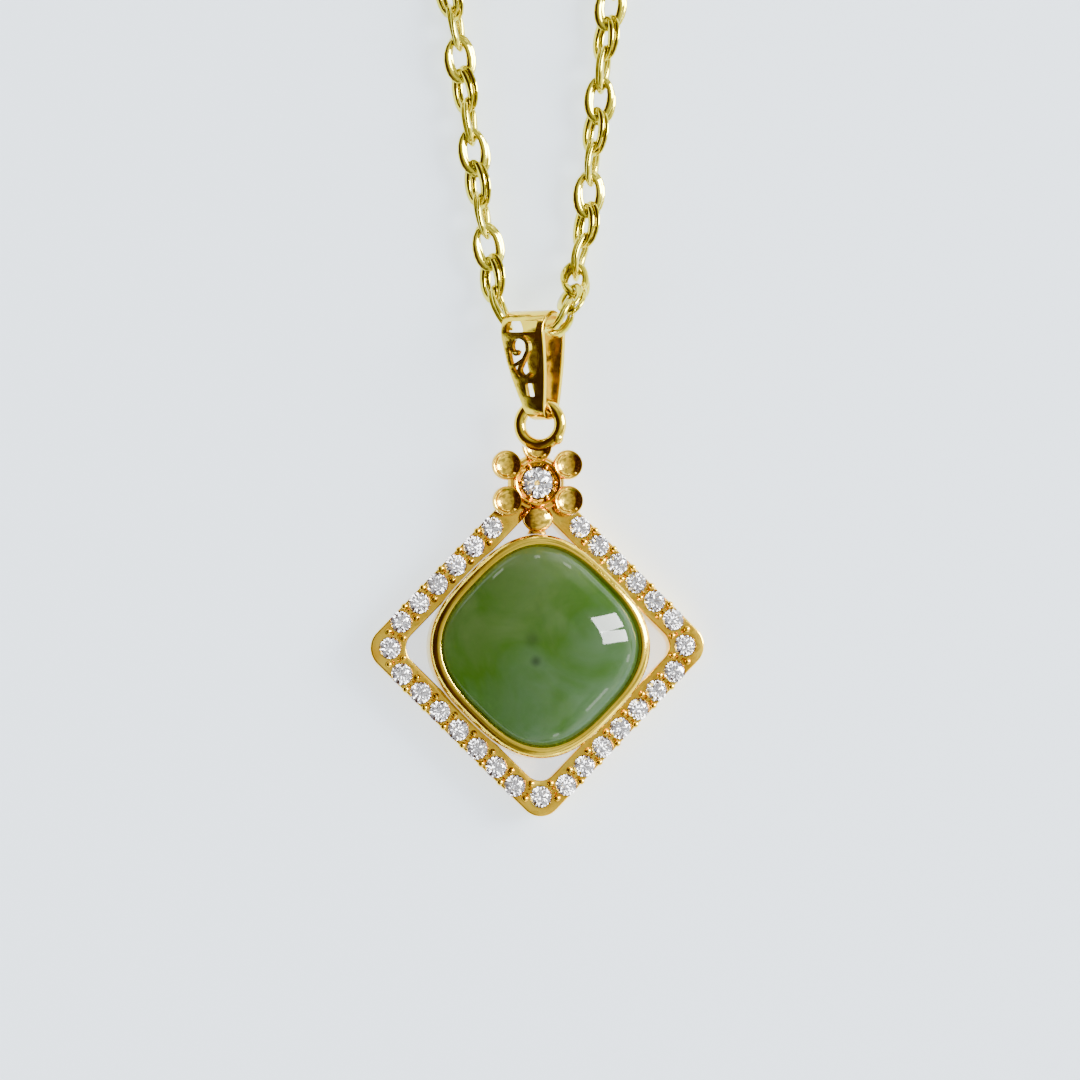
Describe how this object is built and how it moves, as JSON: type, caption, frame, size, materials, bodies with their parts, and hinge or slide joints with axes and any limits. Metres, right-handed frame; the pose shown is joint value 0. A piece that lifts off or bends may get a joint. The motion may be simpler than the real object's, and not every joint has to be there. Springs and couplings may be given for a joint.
{
  "type": "jade pendant",
  "caption": "Gilt silver pendant: a cushion-shaped jade cabochon in a square halo of small zircons, under a flower, a scrolled bail and a twisted chain.",
  "frame": {"origin": "middle of the flat back plate of the bezel cup, on the floor", "axes": "+X to the pendant's right, +Y along the pendant to the bail, +Z out of the jade's face"},
  "size_m": [0.0188, 0.0638, 0.0058],
  "materials": {
    "jade": "polished",
    "gilt_silver": "polished",
    "zircon": "faceted",
    "chain_gold": "polished"
  },
  "bodies": {
    "root": {"jade_cabochon": "jade", "bezel_cup": "gilt_silver", "halo_frame": "gilt_silver", "flower": "gilt_silver", "jump_ring": "gilt_silver", "bail": "gilt_silver", "halo_zircon_01": "zircon", "halo_zircon_02": "zircon", "halo_zircon_03": "zircon", "halo_zircon_04": "zircon", "halo_zircon_05": "zircon", "halo_zircon_06": "zircon", "halo_zircon_07": "zircon", "halo_zircon_08": "zircon", "halo_zircon_09": "zircon", "halo_zircon_10": "zircon", "halo_zircon_11": "zircon", "halo_zircon_12": "zircon", "halo_zircon_13": "zircon", "halo_zircon_14": "zircon", "halo_zircon_15": "zircon", "halo_zircon_16": "zircon", "halo_zircon_17": "zircon", "halo_zircon_18": "zircon", "halo_zircon_19": "zircon", "halo_zircon_20": "zircon", "halo_zircon_21": "zircon", "halo_zircon_22": "zircon", "halo_zircon_23": "zircon", "halo_zircon_24": "zircon", "halo_zircon_25": "zircon", "halo_zircon_26": "zircon", "halo_zircon_27": "zircon", "halo_zircon_28": "zircon", "halo_zircon_29": "zircon", "flower_zircon": "zircon", "chain": "chain_gold", "chain_coil": "chain_gold", "clasp": "chain_gold", "clasp_ring": "chain_gold"}
  },
  "joints": []
}
